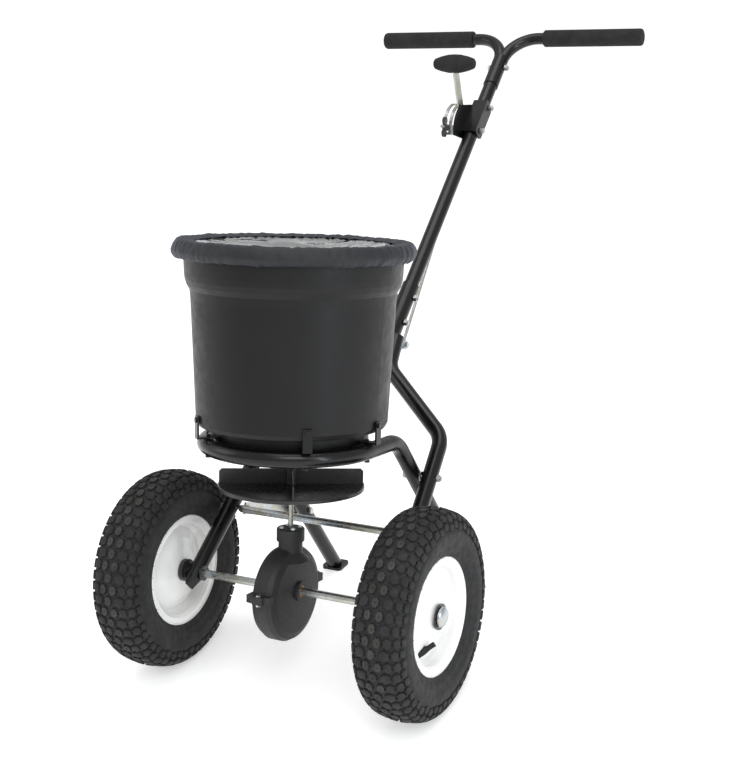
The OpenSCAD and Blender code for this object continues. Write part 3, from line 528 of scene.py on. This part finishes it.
def vent_nibs(bm, tread):
    """Thin rubber spikes left by the vents of the mould."""
    place = tread.arc[-1] - 6 * MM
    for side in (-1, 1):
        for k in range(NIBS):
            a = 2 * math.pi * (k + 0.5 * (side > 0)) / NIBS
            foot = tread.at(side * place, a)
            ring = [foot + Vector((0, math.cos(a + q), math.sin(a + q))) * NIB_R for q in (0, 2.1, 4.2)]
            vs = [bm.verts.new(v) for v in ring]
            tip = bm.verts.new(tread.at(side * place, a, -NIB_LONG))
            for i in range(3):
                bm.faces.new((vs[i], vs[(i + 1) % 3], tip))


def tyre_mesh(tread, depth, count):
    """Casing, every row of blocks and the vent nibs of one tyre, about its own middle."""
    bm = bmesh.new()
    casing(bm, tread, depth)
    for row in TREAD_ROWS:
        for k in range(count):
            tread_block(bm, tread, depth, row, 2 * math.pi * (k + row[1]) / count)
    vent_nibs(bm, tread)
    return bm


class SPREADER_OT_tyres(bpy.types.Operator):
    """Builds the two air-filled tyres with their block tread and sidewall ribs"""
    bl_idname = "spreader.tyres"
    bl_label = "Tyres"

    def execute(self, context):
        sizes = context.scene.spreader_sizes
        rubber = bpy.data.materials["Moulded rubber"]
        scuffed = scuffed_rubber(context.scene.spreader_colours)
        for side, body in (("left", "drive"), ("right", "wheel_right")):
            lo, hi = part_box("tyre_" + side)
            rim_lo, rim_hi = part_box("rim_" + side)
            half_w, wheel_r = (hi.x - lo.x) / 2, (hi.z - lo.z) / 2
            # the bead sits just inside the rim flange
            bead_r = (rim_hi.z - rim_lo.z) / 2 - 4 * MM
            bm = tyre_mesh(Tread(wheel_r, half_w, bead_r), sizes.tread_depth, sizes.tread_pitch)
            for v in bm.verts:
                v.co = v.co + (lo + hi) / 2
            ob = shown("treaded_tyre_" + side, bm, [rubber, scuffed], body)
            for f in ob.data.polygons:
                if f.material_index == 1:
                    f.use_smooth = False
            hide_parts("tyre_" + side)
        return {"FINISHED"}


# ---------------------------------------------------------------- rain cover
COVER_TURNS, WINDOW_TURNS, WINDOW_ROWS = 540, 144, 40
FOLDS = 95                  # gathers round the hem


def cover_line(sizes):
    """Section of the fabric from the window seam over the rim to the elastic hem, as radius and
    height, with the skirt's radius and the window's height."""
    lo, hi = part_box("cover_skirt")
    r = (hi.x - lo.x) / 2
    top = (LEANED.inverted() @ centre("cover_window")).z
    p = sizes.cover_puff
    section = [(r - 31 * MM, top - 1.0 * MM), (r - 24 * MM, top + 0.6 * MM),
               (r - 14 * MM, top + 1.4 * MM + p), (r - 6 * MM, top + 0.6 * MM + p),
               (r - 1.2 * MM, top - 3.2 * MM), (r + p * 0.6, top - 8.4 * MM), (r + p, top - 14 * MM),
               (r - 0.6 * MM, top - 19 * MM), (r - 3.6 * MM, top - 22.6 * MM),
               (r - 6.8 * MM, top - 24 * MM), (r - 8.4 * MM, top - 22.6 * MM)]
    return spline(section, 6), r, top


def hem_gathers(rng):
    """Height from 0 to 1 of the unevenly spaced folds of the hem at each step round it."""
    folds = [(rng.uniform(0, 2 * math.pi), rng.uniform(0.5, 1.0), rng.uniform(0.012, 0.03))
             for _ in range(FOLDS)]

    def fold_height(angle, at, high, wide):
        d = (angle - at + math.pi) % (2 * math.pi) - math.pi
        return high * math.exp(-(d / wide) ** 2)

    return [max(0.0, *(fold_height(a, *fold) for fold in folds)) for a in circle(COVER_TURNS)]


def outward(line, i, centre_r, centre_z):
    """Unit normal of the section at point i, away from the inside of the roll."""
    (r0, z0), (r1, z1) = line[max(i - 1, 0)], line[min(i + 1, len(line) - 1)]
    d = math.hypot(r1 - r0, z1 - z0)
    nr, nz = -(z1 - z0) / d, (r1 - r0) / d
    if nr * (line[i][0] - centre_r) + nz * (line[i][1] - centre_z) < 0:
        nr, nz = -nr, -nz
    return nr, nz


class SPREADER_OT_rain_cover(bpy.types.Operator):
    """Builds the gathered fabric cover that is pulled over the hopper rim"""
    bl_idname = "spreader.rain_cover"
    bl_label = "Rain cover"

    def execute(self, context):
        sizes = context.scene.spreader_sizes
        line, r, top = cover_line(sizes)
        gather = hem_gathers(random.Random(11))
        rings = []
        for i, (pr, pz) in enumerate(line):
            # t runs from the window seam to the hem
            t = i / (len(line) - 1)
            nr, nz = outward(line, i, r - 20 * MM, top - 20 * MM)
            hem = max(0.0, (t - 0.45) / 0.55) ** 1.3
            seam = max(0.0, 1 - t / 0.3) ** 1.5
            ring = []
            for a, fold in zip(circle(COVER_TURNS), gather):
                q = swirl(a, 7.0, t * 1.6)
                slack = noise.noise(q) * 1.5 + noise.noise(q * 2.7 + Vector((3, 1, 5))) * 0.9
                # creases run aslant, drawn by the seam above and the elastic below
                b = a + (t - 0.5) * 0.24 * noise.noise(swirl(a, 3, 2))
                tug = noise.noise(swirl(b, 22, t * 1.1 + 9))
                tug += 0.6 * noise.noise(swirl(b, 47, t * 2.3 + 3))
                push = (slack * 1.1 * MM * math.sin(math.pi * min(1, t * 1.15)) ** 0.6
                        + tug * 1.6 * MM * (seam + 0.35)
                        + fold * sizes.cover_gather * (hem + 0.12))
                rr, zz = pr + nr * push, pz + nz * push
                zz += 0.8 * MM * noise.noise(swirl(a, 2.2, 4)) * (1 + t)
                ring.append(LEANED @ Vector((rr * math.cos(a), rr * math.sin(a), zz)))
            rings.append(ring)
        bm = bmesh.new()
        ring_mesh(bm, rings)
        area = sum(f.calc_area() for f in bm.faces)
        polyester = bpy.data.materials["Woven polyester"]
        ob = shown("rain_cover", bm, [polyester], "cover")
        dressed(ob, 0.7 * MM, "cover_skirt")
        return {"FINISHED"}


class SPREADER_OT_cover_window(bpy.types.Operator):
    """Builds the clear panel sewn into the middle of the cover"""
    bl_idname = "spreader.cover_window"
    bl_label = "Cover window"

    def execute(self, context):
        sizes = context.scene.spreader_sizes
        line = cover_line(sizes)[0]
        # the edge is sewn to the fabric just inside its second point
        r_seam, z_seam = line[1][0] + 1.5 * MM, line[0][1] - 0.6 * MM
        bm = bmesh.new()
        mid = bm.verts.new(LEANED @ Vector((0, 0, z_seam - sizes.cover_sag)))
        last = None
        for row in range(1, WINDOW_ROWS + 1):
            f = row / WINDOW_ROWS
            ring = []
            for a in circle(WINDOW_TURNS):
                q = Vector((f * math.cos(a) * 3.2, f * math.sin(a) * 3.2, 1.7))
                pull = noise.noise(swirl(a, 9, f * 1.5))
                z = (z_seam - sizes.cover_sag * (1 - f ** 2)
                     + 3.2 * MM * noise.noise(q) * (1 - f ** 4)
                     + 1.5 * MM * pull * f ** 3 * (1 - f ** 10))
                ring.append(bm.verts.new(LEANED @ Vector((r_seam * f * math.cos(a),
                                                          r_seam * f * math.sin(a), z))))
            for k in range(WINDOW_TURNS):
                n = (k + 1) % WINDOW_TURNS
                bm.faces.new((last[k], ring[k], ring[n], last[n]) if last else (mid, ring[k], ring[n]))
            last = ring
        area = sum(f.calc_area() for f in bm.faces)
        vinyl = bpy.data.materials["Clear PVC film"]
        ob = shown("cover_clear_panel", bm, [vinyl], "cover")
        dressed(ob, 0.3 * MM, "cover_window")
        return {"FINISHED"}


# ---------------------------------------------------------------- studio
WORLD_LIGHT, FLOOR_GLOW = 0.66, 0.42
FLOOR_HALF, FLOOR_DROP = 40, 0.4 * MM          # the floor is just under the feet, clear of their faces
# area lights: name, place, width, height, watts, colour
LIGHTS = (("key", (1.6, -2.4, 2.9), 1.6, 1.6, 34, (1, 1, 1)),
          ("fill", (-2.8, -1.6, 1.9), 1.8, 1.8, 14, (1, 1, 1)),
          ("strip", (2.5, -1.25, 1.25), 0.35, 1.7, 17, (0.86, 0.93, 1)),
          ("top", (0.1, 0.1, 3.4), 2.2, 2.2, 40, (1, 1, 1)))
# three-quarter view from the front right, looking down and turned a little about the line of sight
CAMERA_AT = (1.12566, -2.06287, 1.20500)
CAMERA_LOOK = Vector((-0.449353, 0.831876, -0.325675))
CAMERA_UP = Vector((-0.086115, 0.322521, 0.942637))
CAMERA_LENS, CAMERA_SHIFT = 67.36, (-0.05003, -0.03263)


def lay_floor(scene):
    """A wide seamless floor that glows a little, so shadows on it stay light."""
    # white acrylic sheet lit from behind: flat, matt and almost without shade
    m, t, s, p = surface("Back-lit white acrylic", {
        "Base Color": (0.93, 0.93, 0.93, 1), "Roughness": 0.9, "Specular IOR Level": 0.1,
        "Emission Color": (1, 1, 1, 1), "Emission Strength": FLOOR_GLOW})
    relief(t, s, grain(t, p, 6 * MM, 2), 0.05 * MM)
    bm = bmesh.new()
    bmesh.ops.create_grid(bm, x_segments=8, y_segments=8, size=FLOOR_HALF)
    mesh = bpy.data.meshes.new("studio_floor")
    bm.to_mesh(mesh)
    bm.free()
    mesh.materials.append(m)
    floor = bpy.data.objects.new("studio_floor", mesh)
    floor.location.z = -FLOOR_DROP
    scene.collection.objects.link(floor)


def hang_lights(scene):
    """A pale surround and area lights that face the middle of the spreader."""
    world = bpy.data.worlds.new("Studio light tent")
    world.use_nodes = True
    background = world.node_tree.nodes["Background"].inputs
    background["Color"].default_value = (1, 1, 1, 1)
    background["Strength"].default_value = WORLD_LIGHT
    scene.world = world
    middle = (cad_bounds[0] + cad_bounds[1]) / 2
    for name, at, wide, tall, power, colour in LIGHTS:
        light = bpy.data.lights.new(name, "AREA")
        light.shape, light.size, light.size_y = "RECTANGLE", wide, tall
        light.energy, light.color = power, colour
        ob = bpy.data.objects.new(name, light)
        ob.location = at
        ob.rotation_euler = (middle - Vector(at)).to_track_quat("-Z", "Y").to_euler()
        scene.collection.objects.link(ob)


def place_camera(scene):
    """A long lens with no depth of field."""
    cam = bpy.data.cameras.new("camera")
    cam.lens, cam.sensor_width = CAMERA_LENS, 36.0
    cam.shift_x, cam.shift_y = CAMERA_SHIFT
    cam.clip_end = 200
    ob = bpy.data.objects.new("camera", cam)
    right = CAMERA_LOOK.cross(CAMERA_UP).normalized()
    up = right.cross(CAMERA_LOOK).normalized()
    turn = Matrix((right, up, -CAMERA_LOOK.normalized())).transposed()
    ob.matrix_world = Matrix.Translation(CAMERA_AT) @ turn.to_4x4()
    scene.collection.objects.link(ob)
    scene.camera = ob


class SPREADER_OT_studio(bpy.types.Operator):
    """Sets up the pale floor, soft lights and camera"""
    bl_idname = "spreader.studio"
    bl_label = "Studio"

    def execute(self, context):
        scene = context.scene
        scene.view_settings.view_transform = "Standard"
        lay_floor(scene)
        hang_lights(scene)
        place_camera(scene)
        return {"FINISHED"}


class SPREADER_PT_panel(bpy.types.Panel):
    """Lists the pieces of the spreader"""
    bl_idname = "SPREADER_PT_panel"
    bl_label = "Broadcast spreader"
    bl_space_type = "VIEW_3D"
    bl_region_type = "UI"
    bl_category = "Spreader"

    def draw(self, context):
        for group in ("spreader_sizes", "spreader_colours"):
            values = getattr(context.scene, group)
            for key in values.__annotations__:
                self.layout.prop(values, key)
        for op in OPERATORS:
            self.layout.operator(op.bl_idname)


OPERATORS = (SPREADER_OT_finishes, SPREADER_OT_tyres, SPREADER_OT_rain_cover,
             SPREADER_OT_cover_window, SPREADER_OT_studio)
CLASSES = (SpreaderSizes, SpreaderColours, *OPERATORS, SPREADER_PT_panel)


def register():
    for c in CLASSES:
        bpy.utils.register_class(c)
    bpy.types.Scene.spreader_sizes = PointerProperty(type=SpreaderSizes)
    bpy.types.Scene.spreader_colours = PointerProperty(type=SpreaderColours)


def unregister():
    del bpy.types.Scene.spreader_colours
    del bpy.types.Scene.spreader_sizes
    for c in reversed(CLASSES):
        bpy.utils.unregister_class(c)


def main():
    register()
    for op in OPERATORS:
        group, name = op.bl_idname.split(".")
        getattr(getattr(bpy.ops, group), name)()


if __name__ == "__main__":
    main()
